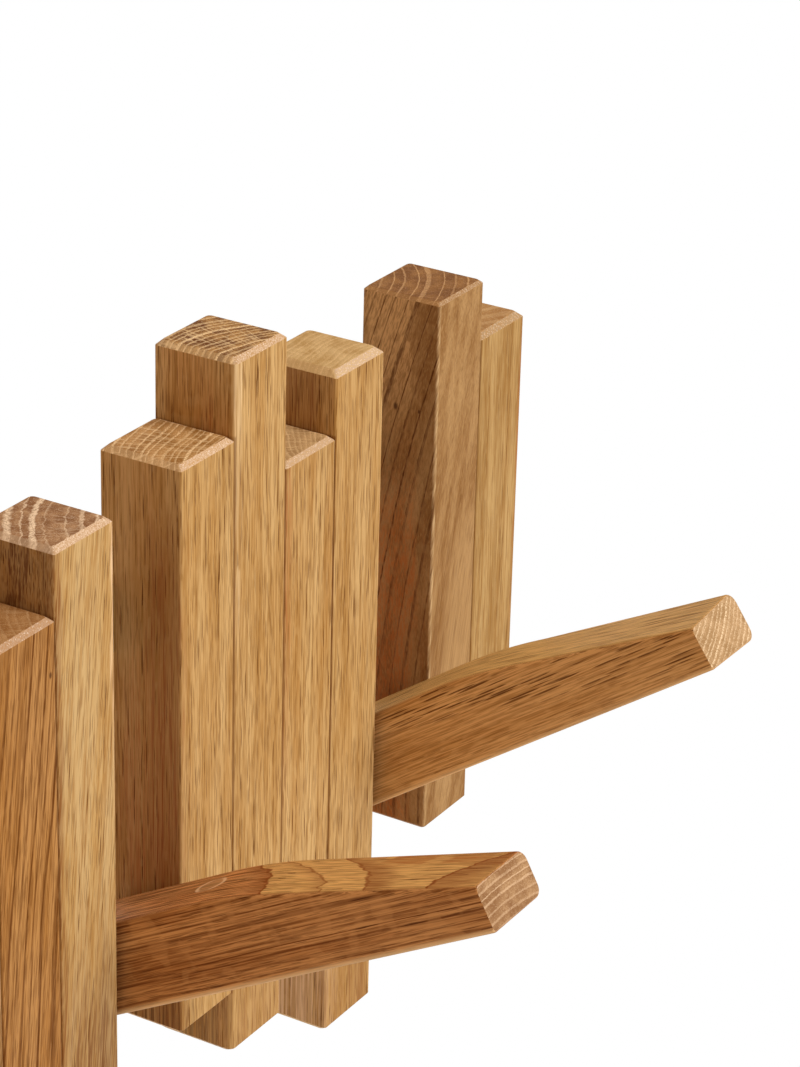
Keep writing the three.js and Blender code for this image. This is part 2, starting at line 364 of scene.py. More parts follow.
def face_colour(graph, look, fields, source):
    """The long faces: streaks and fibres along the grain, dark dashes where pores are cut open."""
    light, streak, pore = (rgb(*look[key]) for key in ("light", "streak", "pore"))
    colour = graph.mix(graph.ramp(fields["tone"], 0.35, 0.65), light, rgb(*look["middle"]))
    if look["golden"]:
        colour = golden_back(graph, look, fields, source, colour)
    colour = graph.mix(graph.ramp(fields["thread"], 0.48, 0.3, 0.0, 0.6), colour, light)
    dark = graph.ramp(fields["fibre"], 0.48, 0.62)
    colour = graph.mix(graph.times(dark, look["streaks"]), colour, streak)
    colour = graph.mix(graph.ramp(fields["thread"], 0.52, 0.6, 0.0, look["threads"]), colour, streak)
    broken = graph.ramp(fields["fibre"], 0.38, 0.56, look["unbroken"], 1.0)
    lines = graph.times(graph.times(fields["early"], broken), look["lines"])
    turned = graph.axes(source["Normal"])
    sideways = graph.ramp(graph.math("ABSOLUTE", turned[0]), 0.4, 0.7, look["front_lines"], 1.0)
    if look["golden"]:
        sideways = graph.times(sideways, graph.ramp(turned[1], 0.95, 0.75))
    colour = graph.mix(graph.times(lines, sideways), colour, streak)
    colour = graph.mix(graph.times(fields["fine"], look["fine"]), colour, pore)
    colour = graph.mix(graph.times(fields["bold"], look["pores"]), colour, pore)
    return graph.mix(graph.times(fields["rays"], 0.25), colour, light)


def end_colour(graph, look, fields):
    """The ends: pale rings and rays in darker wood, darkest just before each ring."""
    dark, line = rgb(*look["end_dark"]), rgb(*look["end_line"])
    colour = graph.mix(graph.ramp(fields["tone"], 0.35, 0.65), dark, rgb(*look["end_light"]))
    colour = graph.mix(graph.times(fields["late"], 0.4), colour, dark)
    colour = graph.mix(graph.ramp(fields["thread"], 0.5, 0.64, 0.0, 0.7), colour, dark)
    colour = graph.mix(graph.times(fields["rays"], look["rays"]), colour, line)
    beads = graph.ramp(fields["fibre"], 0.42, 0.56, 1.0 - look["beads"], 1.0)
    pale = graph.times(graph.times(fields["early"], beads), look["bands"])
    colour = graph.mix(pale, colour, line)
    colour = graph.mix(graph.times(fields["bold"], 0.6), colour, dark)
    return graph.mix(graph.times(fields["fine"], 0.35), colour, line)


def chamfer_colour(graph, look, fields, source, end):
    """The sawn chamfers: pale, with fine ticks across them, and nearer to the end's colour at the sides."""
    threads = graph.ramp(fields["thread"], 0.42, 0.6, 0.0, 0.8)
    front = graph.mix(threads, rgb(*look["chamfer"]), rgb(*look["end_light"]))
    front = graph.mix(graph.times(fields["fine"], 0.5), front, rgb(*CHAMFER_TICK))
    turned = graph.axes(source["Normal"])[0]
    side = graph.mix(0.3, end, rgb(*look["end_line"]))
    return graph.mix(graph.ramp(graph.math("ABSOLUTE", turned), 0.3, 0.6), front, side)


def add_stripes(graph, look, fields, source, top, colour):
    """Long stripes of another tone, with the fibres and the rings still showing: some are the wood's own
    tone, and some are painted light and painted shade. Each is the wood round (x, y) within its reach. It
    fades in between two depths below the upper end, one where it is none and one where it is full, and has
    a strength and a tint."""
    for x, y, reach, none, full, strength, tint in look["stripes"]:
        away = graph.vector("SUBTRACT", source["Object"], (x * MM, y * MM, top))
        height = graph.axes(away)[2]
        away = graph.length(graph.vector("MULTIPLY", away, (1, 1, 0)))
        ragged = graph.noise(source["Object"], (600, 600, 50), 3.0)[0]
        edge = graph.math("MULTIPLY_ADD", ragged, -reach * MM, away)
        share = graph.ramp(edge, -0.1 * reach * MM, 0.4 * reach * MM, strength, 0.0)
        share = graph.times(share, graph.ramp(height, -none * MM, -full * MM))
        share = graph.times(share, graph.ramp(fields["fibre"], 0.4, 0.58, 1.0, 0.3))
        share = graph.times(share, graph.ramp(fields["early"], 0.2, 0.8, 1.0, 0.3))
        colour = graph.mix(share, colour, rgb(*tint))
    return colour


def add_seam_shade(graph, look, fields, source, colour):
    """The painted shade of a seam, a dark line where a bar's edge meets its neighbour: the side's x and the
    joint's ends.
    """
    axes = graph.axes(source["Object"])
    reach = look["seam_shade_reach"] * MM
    for side, low, high in look["joints"]:
        away = graph.math("ABSOLUTE", graph.math("SUBTRACT", axes[0], side))
        line = graph.ramp(away, reach, reach + 0.25 * MM, look["joint"], 0.0)
        line = graph.times(line, graph.ramp(axes[2], low, low + MM))
        line = graph.times(line, graph.ramp(axes[2], high, high - MM))
        line = graph.times(line, graph.ramp(fields["fibre"], 0.4, 0.58, 1.0, 0.7))
        colour = graph.mix(line, colour, rgb(*SEAM_SHADE))
    return colour


def add_edge_highlight(graph, look, source, colour):
    """Painted highlight: a hook's sides are paler along the under edge, where its rounding would catch the
    light. The look gives the edge's y, and the strength.
    """
    edge, strength = look["edge_highlight"]
    depth = graph.axes(source["Object"])[1]
    turned = graph.axes(source["Normal"])[0]
    line = graph.ramp(depth, edge + 2 * MM, edge + 0.9 * MM, 0.0, strength)
    line = graph.times(line, graph.ramp(graph.math("ABSOLUTE", turned), 0.2, 0.6))
    return graph.mix(line, colour, rgb(*EDGE_HIGHLIGHT))


def add_knots(graph, look, source, colour):
    """Small dark knots: the middle and the size, in millimetres."""
    for x, y, z, size in look["knots"]:
        away = graph.vector("SUBTRACT", source["Object"], (x * MM, y * MM, z * MM))
        away = graph.length(graph.vector("MULTIPLY", away, (1, 1, 0.6)))
        spot = graph.ramp(away, size * 0.5 * MM, size * 1.6 * MM, 0.8, 0.0)
        colour = graph.mix(spot, colour, rgb(*KNOT))
    return colour


def back_places(graph, source):
    """For the tapered back of a hook: the ragged way along it, the square of the way across it from
    its left edge, and 1 on the back and 0 elsewhere."""
    axes = graph.axes(source["Object"])
    from_left = graph.math("SUBTRACT", axes[0], -HOOK_WIDTH / 2)
    square = graph.times(graph.times(from_left, from_left), 1 / MM)
    jagged = graph.noise(source["Object"], (300, 0, 120), 4.0)[0]
    along = graph.math("MULTIPLY_ADD", graph.math("SUBTRACT", jagged, 0.5), 8 * MM, axes[2])
    turned = graph.axes(source["Normal"])[1]
    return along, square, graph.ramp(turned, 0.75, 0.95)


def golden_back(graph, look, fields, source, colour):
    """The back of a hook has its own tint up to a curve, and is paler from there on: the curve's
    place along the hook, its bend towards the heel and the paler tint."""
    place, bend, tint = look["golden"]
    along, square, on_back = back_places(graph, source)
    heel = graph.mix(graph.ramp(fields["fibre"], 0.44, 0.56), rgb(*look["heel"]), rgb(*look["streak"]))
    colour = graph.mix(graph.times(on_back, 0.7), colour, heel)
    away = graph.math("SUBTRACT", graph.math("MULTIPLY_ADD", square, bend, along), place * MM)
    share = graph.times(on_back, graph.ramp(away, 0.0, MM, 0.0, 0.85))
    return graph.mix(share, colour, rgb(*tint))


def add_crossings(graph, look, source, colour):
    """The tapered back of a hook cuts through its rings in brown curves, with the wood shaded on one
    side of each. Each has its place along the hook, its bend towards the heel, the strengths of its
    line and its shade, and how far the shade reaches towards the tip, or towards the heel below 0."""
    along, square, on_back = back_places(graph, source)
    brown = rgb(*look["crossing"])
    for place, bend, strength, shaded, reach in look["crossings"]:
        away = graph.math("SUBTRACT", graph.math("MULTIPLY_ADD", square, bend, along), place * MM)
        within = graph.math("DIVIDE", away, reach * MM)
        shade = graph.ramp(within, 1.0, 0.0, 0.0, shaded)
        shade = graph.times(shade, graph.ramp(within, -0.4 / abs(reach), 0.0))
        colour = graph.mix(graph.times(on_back, shade), colour, brown)
        line = graph.ramp(graph.math("ABSOLUTE", away), 0.2 * MM, 0.8 * MM, strength, 0.0)
        colour = graph.mix(graph.times(on_back, line), colour, brown)
    return colour


def add_fleck(graph, look, source, colour):
    """A pale fleck on the back of a hook: its place across and along, and its half sizes."""
    x, z, half_x, half_z = (value * MM for value in look["fleck"])
    axes = graph.axes(source["Object"])
    across = graph.math("DIVIDE", graph.math("SUBTRACT", axes[0], x), half_x)
    along = graph.math("DIVIDE", graph.math("SUBTRACT", axes[2], z), half_z)
    away = graph.length(graph.combine(across, along, 0))
    on_back = graph.ramp(axes[1], 12 * MM, 14 * MM)
    inside = graph.times(on_back, graph.ramp(away, 0.8, 1.0, 0.45, 0.0))
    colour = graph.mix(inside, colour, rgb(*FLECK))
    rim = graph.ramp(graph.math("ABSOLUTE", graph.math("SUBTRACT", away, 0.95)), 0.05, 0.2, 0.8, 0.0)
    rim = graph.times(rim, graph.ramp(graph.math("ABSOLUTE", along), 0.2, 0.7, 0.25, 1.0))
    return graph.mix(graph.times(on_back, rim), colour, rgb(*FLECK_RIM))


def oak(name, top, **changes):
    """Solid oak, with its grain along the piece's own z axis up to its upper end. Growth rings lie
    round the pith, so the faces and the ends show the same rings."""
    look = PLAIN_OAK | changes
    material = bpy.data.materials.new(name)
    graph = Graph(material)
    source = graph.add("ShaderNodeTexCoord").outputs
    fields = wood_fields(graph, look, source, top)

    # How far the surface turns along the grain says whether a long face, a chamfer or an end shows
    turned = graph.math("ABSOLUTE", graph.axes(source["Normal"])[2])
    colour = face_colour(graph, look, fields, source)
    # Stripes of the wood's own tone, and of painted light and painted shade
    colour = add_stripes(graph, look, fields, source, top, colour)
    # Painted shade along the seams between bars
    colour = add_seam_shade(graph, look, fields, source, colour)
    colour = add_knots(graph, look, source, colour)
    # Painted highlight along a hook's under edge
    if look["edge_highlight"]:
        colour = add_edge_highlight(graph, look, source, colour)
    if look["crossings"]:
        colour = add_crossings(graph, look, source, colour)
    if look["fleck"]:
        colour = add_fleck(graph, look, source, colour)
    end = end_colour(graph, look, fields)
    chamfer = chamfer_colour(graph, look, fields, source, end)
    colour = graph.mix(graph.ramp(turned, look["sawn"], look["sawn"] + 0.2), colour, chamfer)
    colour = graph.mix(graph.ramp(turned, 0.82, 0.95), colour, end)

    rough = graph.ramp(fields["fibre"], 0.3, 0.7, 0.46, 0.6)
    rough = graph.math("ADD", rough, graph.times(fields["bold"], 0.15))
    relief = graph.math("SUBTRACT", graph.times(fields["thread"], 0.5), fields["bold"])
    bump = graph.add("ShaderNodeBump", {"Strength": 0.4, "Distance": 0.0002, "Height": relief})
    shader = graph.add("ShaderNodeBsdfPrincipled", {
        "Base Color": colour,
        "Roughness": rough,
        "Specular IOR Level": 0.06,
        "Normal": bump.outputs[0],
    })
    graph.add("ShaderNodeOutputMaterial", {"Surface": shader.outputs[0]})
    return material


def steel(name, colour, roughness, grain):
    """Brushed or plated steel. The grain is a stretch in each axis, in marks per metre."""
    material = bpy.data.materials.new(name)
    graph = Graph(material)
    place = graph.add("ShaderNodeTexCoord").outputs["Object"]
    lines = graph.noise(place, grain, 3.0)[0]
    cloud = graph.noise(place, (60, 60, 60), 2.0)[0]
    darker = [value * 0.93 for value in colour]
    tint = graph.mix(graph.ramp(cloud, 0.35, 0.65), rgb(*colour), rgb(*darker))
    rough = graph.ramp(lines, 0.3, 0.7, roughness - 0.06, roughness + 0.08)
    bump = graph.add("ShaderNodeBump", {"Strength": 0.2, "Distance": 0.00003, "Height": lines})
    shader = graph.add("ShaderNodeBsdfPrincipled", {
        "Base Color": tint,
        "Metallic": 1.0,
        "Roughness": rough,
        "Normal": bump.outputs[0],
    })
    graph.add("ShaderNodeOutputMaterial", {"Surface": shader.outputs[0]})
    return material


def fillet(before, corner, after, radius, steps):
    """Points of the arc that rounds a corner of an outline, from the side of before to after."""
    towards = (before - corner).normalized()
    away = (after - corner).normalized()
    half = towards.angle(away) / 2
    start = corner + towards * (radius / math.tan(half))
    finish = corner + away * (radius / math.tan(half))
    middle = corner + (towards + away).normalized() * (radius / math.sin(half))
    arm = start - middle
    turn = math.copysign(math.pi - 2 * half, arm.cross(finish - middle))
    return [middle + Matrix.Rotation(turn * step / steps, 2) @ arm for step in range(steps + 1)]


def section(under, back, half_width, radii):
    """A rectangle with rounded corners, from an under point to a back point, each given as (y, z). The
    four radii start at the under side's left corner and go on to the right."""
    depth = back - under
    reach = depth.length
    direction = depth / reach
    corners = [(-half_width, 0), (half_width, 0), (half_width, reach), (-half_width, reach)]
    ring = []
    for index, corner in enumerate(corners):
        before = Vector(corners[index - 1])
        after = Vector(corners[(index + 1) % 4])
        for point in fillet(before, Vector(corner), after, radii[index], EDGE_STEPS):
            side = under + direction * point.y
            ring.append(Vector((point.x, side.x, side.y)))
    return ring


def object_from(mesh, name):
    """A scene object of this name, made from the mesh."""
    data = bpy.data.meshes.new(name)
    mesh.to_mesh(data)
    mesh.free()
    made = bpy.data.objects.new(name, data)
    bpy.context.scene.collection.objects.link(made)
    return made


def dress(piece, material):
    piece.data.materials.clear()
    piece.data.materials.append(material)


def loft(name, rings):
    """A closed solid through rings with the same number of points."""
    mesh = bmesh.new()
    rows = [[mesh.verts.new(point) for point in ring] for ring in rings]
    count = len(rings[0])
    for lower, upper in zip(rows, rows[1:]):
        for index in range(count):
            following = (index + 1) % count
            mesh.faces.new((lower[index], lower[following], upper[following], upper[index]))
    mesh.faces.new(reversed(rows[0]))
    mesh.faces.new(rows[-1])
    bmesh.ops.recalc_face_normals(mesh, faces=mesh.faces)
    return object_from(mesh, name)


def box_tool(low, high):
    """A box to cut with, from its corners in the frame."""
    mesh = bmesh.new()
    bmesh.ops.create_cube(mesh, size=1)
    size = high - low
    for vertex in mesh.verts:
        vertex.co = Vector(value * span for value, span in zip(vertex.co, size)) + (low + high) / 2
    return object_from(mesh, "tool")


def rod_tool(centre, radius, low_x, high_x):
    """A round rod along X to cut with."""
    mesh = bmesh.new()
    turn = Matrix.Rotation(math.pi / 2, 4, "Y")
    middle = Matrix.Translation(((low_x + high_x) / 2, centre.y, centre.z))
    bmesh.ops.create_cone(mesh, cap_ends=True, segments=HOLE_STEPS, radius1=radius, radius2=radius,
                          depth=high_x - low_x, matrix=middle @ turn)
    return object_from(mesh, "tool")


def cut(piece, tools):
    """Takes the tools out of the piece for good, then smooths its shading."""
    for tool in tools:
        step = piece.modifiers.new("cut", "BOOLEAN")
        step.operation = "DIFFERENCE"
        step.solver = "EXACT"
        step.object = tool
    bpy.context.view_layer.update()
    depsgraph = bpy.context.evaluated_depsgraph_get()
    data = bpy.data.meshes.new_from_object(piece.evaluated_get(depsgraph))
    piece.modifiers.clear()
    piece.data = data
    for tool in tools:
        bpy.data.objects.remove(tool)
    smooth(piece)


def smooth(piece):
    """Smooth shading across roundings, with flat faces kept flat."""
    for polygon in piece.data.polygons:
        polygon.use_smooth = True
    edges = piece.modifiers.new("weighted normals", "WEIGHTED_NORMAL")
    edges.keep_sharp = True
    edges.weight = 100
    piece.data.set_sharp_from_angle(angle=math.radians(SHARP_ANGLE))


def rounded_ends(low, high, chamfer):
    """The chamfer and its soft edges at both ends of a bar, as (inset, height) pairs."""
    bottom = Vector((0, low))
    top = Vector((0, high))
    across = Vector((chamfer * 4, 0))
    up = Vector((0, chamfer))
    over = Vector((chamfer, 0))
    pairs = fillet(bottom + across, bottom + over, bottom + up, CHAMFER_SOFTNESS, CHAMFER_STEPS)
    pairs += fillet(bottom + over, bottom + up, top - up, CHAMFER_SOFTNESS, CHAMFER_STEPS)
    pairs += fillet(bottom + up, top - up, top + over, CHAMFER_SOFTNESS, CHAMFER_STEPS)
    pairs += fillet(top - up, top + over, top + across, CHAMFER_SOFTNESS, CHAMFER_STEPS)
    return pairs


def build_bar(name, tools, material, chamfer, worn_edge):
    """A bar with chamfered ends and rounded long edges, of which the front left one is worn."""
    low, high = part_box(name)
    middle = (low + high) / 2
    half = (high - low) / 2
    rings = []
    for inset, height in rounded_ends(-half.z, half.z, chamfer):
        under = Vector((-half.y + inset, height))
        back = Vector((half.y - inset, height))
        edges = (worn_edge, BAR_EDGE, BAR_EDGE, BAR_EDGE)
        radii = [edge + inset * EDGE_GROWTH for edge in edges]
        rings.append(section(under, back, half.x - inset, radii))
    piece = loft(f"{name}_wood", rings)
    piece.location = middle
    cut(piece, tools)
    dress(piece, material)
    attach(piece, "rack")
    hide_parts(name)


def hook_guides(slope):
    """Two lines of points along the underside and the back of a hook, from its heel to its tip."""
    def heel(y):
        return Vector((y, (y * math.sin(slope) - HEEL_REACH) / math.cos(slope)))

    heel_under = heel(HOOK_UNDER)
    heel_back = heel(HOOK_BACK)
    tip_under = Vector((HOOK_UNDER, HOOK_LENGTH))
    tip_back = Vector((HOOK_UNDER + HOOK_TIP, HOOK_LENGTH))
    knee = Vector((HOOK_BACK, KNEE_HEIGHT))
    back = fillet(heel_under, heel_back, knee, HEEL_BACK_ROUNDING, HEEL_STEPS)
    back += fillet(heel_back, knee, tip_back, KNEE_RADIUS, KNEE_STEPS)
    back += fillet(knee, tip_back, tip_under, TIP_ROUNDING, TIP_STEPS)
    under = fillet(heel_back, heel_under, tip_under, HEEL_UNDER_ROUNDING, HEEL_STEPS)
    tip = fillet(heel_under, tip_under, tip_back, TIP_ROUNDING, TIP_STEPS)
    # Along the length, each point of the underside lies straight under one of the back
    under += [Vector((HOOK_UNDER, point.y)) for point in back[len(under):-len(tip)]]
    return under + tip, back


def make_tip_uneven(rings, half_width, thicker, longer):
    """Moves the points towards the tip, so that its right side ends up thicker and longer."""
    for point in sum(rings, []):
        share = max(0, point.z - UNEVEN_START) / (HOOK_LENGTH - UNEVEN_START)
        share *= 0.5 + point.x / (2 * half_width)
        point.y += thicker * share * (point.y - HOOK_UNDER) / HOOK_TIP
        point.z += longer * share


def soft_cap(ring, half_width):
    """A slightly smaller ring to close an end with, which softens the end's edges."""
    middle = sum(ring, Vector()) / len(ring)
    return [point.lerp(middle, CAP_SOFTNESS / half_width) for point in ring]


def build_hook(number, material):
    """A flat tapered hook with its pin hole, built standing along z and then turned open."""
    node = f"hook_{number}"
    joint = next(joint for joint in frame["joints"] if joint["name"] == f"{node}_fold")
    closing = math.radians(joint["range_deg"][1])
    low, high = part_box(node)
    half_width = (high.x - low.x) / 2
    under, back = hook_guides(math.pi / 2 - closing)
    rings = [section(lower, upper, half_width, HOOK_EDGES) for lower, upper in zip(under, back)]
    if number in UNEVEN_TIPS:
        make_tip_uneven(rings, half_width, *UNEVEN_TIPS[number])
    rings = [soft_cap(rings[0], half_width), *rings, soft_cap(rings[-1], half_width)]
    piece = loft(f"{node}_wood", rings)
    pin_low, pin_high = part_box(f"hook_pin_{number}")
    hole_radius = (pin_high.z - pin_low.z) / 2 + PIN_HOLE_GAP
    cut(piece, [rod_tool(Vector((0, 0, 0)), hole_radius, -2 * half_width, 2 * half_width)])
    dress(piece, material)
    piece.location = Vector(joint["pos_m"])
    piece.rotation_euler.x = closing
    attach(piece, joint["child"])
    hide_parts(node)


def bar_tools(name):
    """The rail grooves and the blind pin holes that reach into this bar, as boxes and rods."""
    low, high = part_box(name)
    tools = []
    for rail in ("upper_rail", "lower_rail"):
        rail_low, rail_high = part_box(rail)
        if rail_low.x < high.x and rail_high.x > low.x:
            gap = Vector((GROOVE_GAP, 0, GROOVE_GAP))
            tools.append(box_tool(rail_low - gap, rail_high + gap + Vector((0, GROOVE_GAP, 0))))
    for number in range(1, HOOK_COUNT + 1):
        pin_low, pin_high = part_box(f"hook_pin_{number}")
        if pin_low.x < high.x and pin_high.x > low.x:
            radius = (pin_high.z - pin_low.z) / 2 + PIN_HOLE_GAP
            tools.append(rod_tool((pin_low + pin_high) / 2, radius, pin_low.x, pin_high.x))
    return tools


# Tones that several bars share: a pale edge that is partly wear and partly painted highlight, red heartwood
# that on one bar also stands in as painted shade, and painted shade towards the lower ends
EDGE_WEAR_AND_HIGHLIGHT = (232, 202, 154)
RED_HEART_AND_SHADE = (168, 96, 42)
SHADED_OAK = (150, 102, 52)

# The middle and the reach of the stripes that tint a whole face
LEFT_FACE = (-16.0, 2.0, 20.0)
FRONT_FACE = (0.0, -18.0, 20.0)

# What sets each bar's wood apart from plain oak. The functions that add the marks say what their
# numbers mean.
BAR_LOOKS = {
    "bar_09": {
        "light": (190, 140, 82), "middle": (168, 116, 58), "streak": (104, 58, 16),
        "end_dark": (146, 98, 52), "end_light": (178, 132, 84), "end_line": (214, 174, 126),
        "chamfer": (184, 150, 120), "pith": (38, -45), "ring": 2.6, "line": 0.3, "lean": (0.12, 0),
        "streaks": 0.45, "lines": 1.0, "unbroken": 0.6, "pores": 0.9, "bands": 0.35, "rays": 0.2,
        "knots": ((10.1, -13, 66, 0.5),),
    },
    "bar_10": {
        "light": (208, 176, 123), "middle": (198, 159, 100), "streak": (162, 114, 54),
        "end_dark": (132, 88, 50), "end_light": (184, 143, 102), "end_line": (242, 214, 178),
        "chamfer": (212, 182, 150), "pith": (24, -39), "ring": 3.4, "line": 0.26, "quiet": (43, 2.6),
        "wander": 1.3, "lean": (0.1, 0), "bands": 0.95, "beads": 0.5, "rays": 0.2,
        "stripes": (
            (*FRONT_FACE, 90, 160, 0.9, (124, 76, 34)),
            (*LEFT_FACE, -6, 0, 0.85, (106, 58, 18)),
            (-12.5, -13.5, 3.5, -6, 2, 0.85, (142, 92, 44)),
            (12.5, -13.2, 2.6, 90, 30, 0.85, (242, 206, 162)),
        ),
    },
    "bar_11": {
        "end_dark": (150, 104, 52), "end_light": (192, 146, 92), "end_line": (242, 208, 158),
        "pith": (14, -55), "ring": 2.0, "line": 0.32, "pores": 1.0, "pore_share": 0.6, "bands": 0.95,
        "beads": 0.6, "rays": 0.45,
        # On the left face, which looks into a slot: painted light on its upper part, and painted shade in a
        # red tone further down
        "stripes": (
            (-16.0, 4.0, 15.0, 80, 0, 0.6, (208, 162, 106)),
            (-16.0, -1.0, 15.0, 20, 90, 0.6, RED_HEART_AND_SHADE),
            (-13.0, -8.0, 8.0, 0, 40, 0.6, (142, 78, 30)),
            (-16.0, 2.0, 22.0, 150, 162, 0.9, (112, 78, 36)),
        ),
    },
    "bar_12": {
        "end_dark": (104, 58, 8), "end_line": (244, 210, 158), "pith": (-13, -43), "ring": 2.0,
        "line": 0.4, "bands": 1.0, "seam_shade_reach": 0.65,
        # A pale front left edge, partly wear and partly painted highlight; painted light on the upper left
        # face, and painted shade at the lower ends of the front and the left face
        "stripes": (
            (-10.9, -13.2, 2.4, 100, 40, 0.85, EDGE_WEAR_AND_HIGHLIGHT),
            (-16.0, 4.0, 15.0, 20, 0, 0.4, (222, 166, 108)),
            (-13.0, -6.0, 8.0, 0, 25, 0.5, RED_HEART_AND_SHADE),
            (*FRONT_FACE, 170, 205, 0.7, SHADED_OAK),
            (*LEFT_FACE, 185, 200, 0.7, (132, 106, 66)),
        ),
    },
    "bar_13": {
        "middle": (186, 140, 80), "end_dark": (162, 124, 80), "end_light": (196, 157, 108),
        "chamfer": (194, 162, 130), "pith": (31, -40), "ring": 1.6, "bands": 0.5, "rays": 0.5,
        # The red stripe near the left edge is the wood's own; the lower end of the front gets painted shade
        "stripes": (
            (-12.5, -13.0, 4.0, 130, 50, 0.6, RED_HEART_AND_SHADE),
            (*FRONT_FACE, 135, 160, 0.9, SHADED_OAK),
        ),
    },
    "bar_14": {
        "end_dark": (180, 142, 84), "end_light": (208, 174, 120), "chamfer": (200, 170, 142),
        "pith": (-5, -90), "ring": 1.7, "bands": 0.4, "rays": 0.12, "joint": 0.85,
        # Painted shade over the left face, painted light at its lower end, and painted shade at the lower
        # end of the front
        "stripes": (
            (-16.0, 2.0, 15.0, -6, 2, 0.8, (140, 88, 44)),
            (-16.0, 0.0, 20.0, 165, 180, 0.75, (240, 206, 164)),
            (*FRONT_FACE, 180, 200, 0.85, SHADED_OAK),
        ),
    },
    "bar_15": {
        "light": (182, 143, 93), "middle": (150, 108, 60), "streak": (92, 50, 14),
        "end_dark": (118, 74, 32), "end_light": (152, 106, 56), "end_line": (216, 172, 120),
        "chamfer": (176, 144, 108), "pith": (-25, 47), "ring": 3.6, "line": 0.18, "drift": 1.0,
        "lean": (0.2, -0.29), "bend": -0.00128, "streaks": 0.15, "threads": 0.2, "lines": 1.0,
        "unbroken": 0.6, "fine": 0.12, "pores": 0.3, "front_lines": 0.1, "rays": 0.1,
        "knots": ((-12.5, 1, 51, 0.6), (-12.5, -7, 51, 0.35)),
        # A pale front left edge, partly wear and partly painted highlight; on the left face painted light
        # above, and painted shade in a red tone lower down
        "stripes": (
            (-12.4, -12.9, 1.0, 220, 100, 0.6, EDGE_WEAR_AND_HIGHLIGHT),
            (-16.0, 4.0, 15.0, 70, 0, 0.85, (220, 176, 120)),
            (-16.0, 2.0, 15.0, 30, 90, 0.7, (186, 108, 48)),
        ),
    },
    "bar_16": {
        "light": (199, 164, 108), "middle": (168, 130, 76), "end_dark": (164, 118, 66),
        "end_light": (182, 138, 84), "chamfer": (172, 144, 110), "pith": (40, 60), "ring": 5.0,
        "threads": 0.4, "fine": 0.3, "pores": 0.5, "bands": 0.3, "rays": 0.1, "joint": 0.4,
        "stripes": ((12.5, -13.0, 2.5, 140, 60, 0.85, RED_HEART_AND_SHADE),),
    },
}

# The bars left of the photograph repeat its looks, this many millimetres further along the boards
UNSEEN_BARS = {
    "bar_01": "bar_14", "bar_02": "bar_10", "bar_03": "bar_12", "bar_04": "bar_16",
    "bar_05": "bar_11", "bar_06": "bar_09", "bar_07": "bar_13", "bar_08": "bar_15",
}
FURTHER_ALONG_BOARD = 400.0
# Each bar comes from its own place across the boards, this many millimetres from the last one's
BOARD_STEP = 31.0

# Bars that are cut or worn differently: the chamfer, and the rounding of the front left edge
BAR_SHAPES = {
    "bar_12": (1.5 * MM, 1.7 * MM),
    "bar_14": (1.9 * MM, 0.9 * MM),
    "bar_15": (1.0 * MM, 0.7 * MM),
    "bar_16": (1.8 * MM, 0.9 * MM),
}


def bar_joints(number):
    """Where a bar meets its neighbours: the side's x and the joint's ends, in the bar's own axes."""
    low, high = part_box(f"bar_{number:02d}")
    middle = (low + high) / 2
    joints = []
    for other in (number - 1, number + 1):
        if f"bar_{other:02d}" in frame["nodes"]:
            other_low, other_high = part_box(f"bar_{other:02d}")
            gap = max(low.x, other_low.x) - min(high.x, other_high.x)
            if gap < TOUCHING_GAP:
                side = (low.x if other < number else high.x) - middle.x
                bottom = max(low.z, other_low.z) - middle.z
                top = min(high.z, other_high.z) - middle.z
                joints.append((side, bottom, top))
    return joints


def build_bars():
    """Every bar, with its own wood."""
    for number in range(1, BAR_COUNT + 1):
        name = f"bar_{number:02d}"
        model = UNSEEN_BARS.get(name, name)
        shift = FURTHER_ALONG_BOARD if name in UNSEEN_BARS else 0.0
        low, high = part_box(name)
        top = (high.z - low.z) / 2
        material = oak(f"{name}_oak", top, shift=shift, board=number * BOARD_STEP,
                       joints=bar_joints(number), **BAR_LOOKS[model])
        chamfer, worn_edge = BAR_SHAPES.get(model, (BAR_CHAMFER, BAR_EDGE))
        build_bar(name, bar_tools(name), material, chamfer, worn_edge)


# The two kinds of wood in the hooks, both with a painted highlight along the under edge of the sides
RED_HOOK = {
    "light": (214, 158, 98), "middle": (184, 127, 72), "streak": (116, 66, 26), "pore": (86, 48, 18),
    "end_dark": (142, 102, 66), "end_light": (180, 142, 102), "end_line": (224, 190, 152),
    "chamfer": (198, 154, 122), "heel": (232, 157, 94), "sawn": 0.7,
    "pith": (-5, -90), "ring": 2.1, "line": 0.27, "drift": 1.0, "wander": 0.25,
    "streaks": 0.45, "lines": 1.0, "unbroken": 0.7, "pore_size": 1.4, "pore_share": 0.3,
    "bands": 0.8, "beads": 0.4, "rays": 0.05, "edge_highlight": (HOOK_UNDER, 0.6),
}
OLIVE_HOOK = {
    "light": (224, 176, 114), "middle": (204, 154, 92), "streak": (150, 102, 50), "pore": (92, 52, 18),
    "end_dark": (166, 130, 88), "end_light": (196, 160, 118), "end_line": (242, 214, 174),
    "chamfer": (204, 168, 126), "sawn": 0.7,
    "pith": (-34, 49), "ring": 1.7, "drift": 1.5,
    "streaks": 0.45, "lines": 0.3, "fine": 0.4, "pores": 0.85, "pore_size": 1.3, "pore_share": 0.6,
    "zone": (18.5, -0.15, 6), "bands": 0.9, "beads": 0.9, "rays": 0.1,
    "golden": (-20, 0, (232, 194, 122)), "edge_highlight": (HOOK_UNDER, 0.3),
}
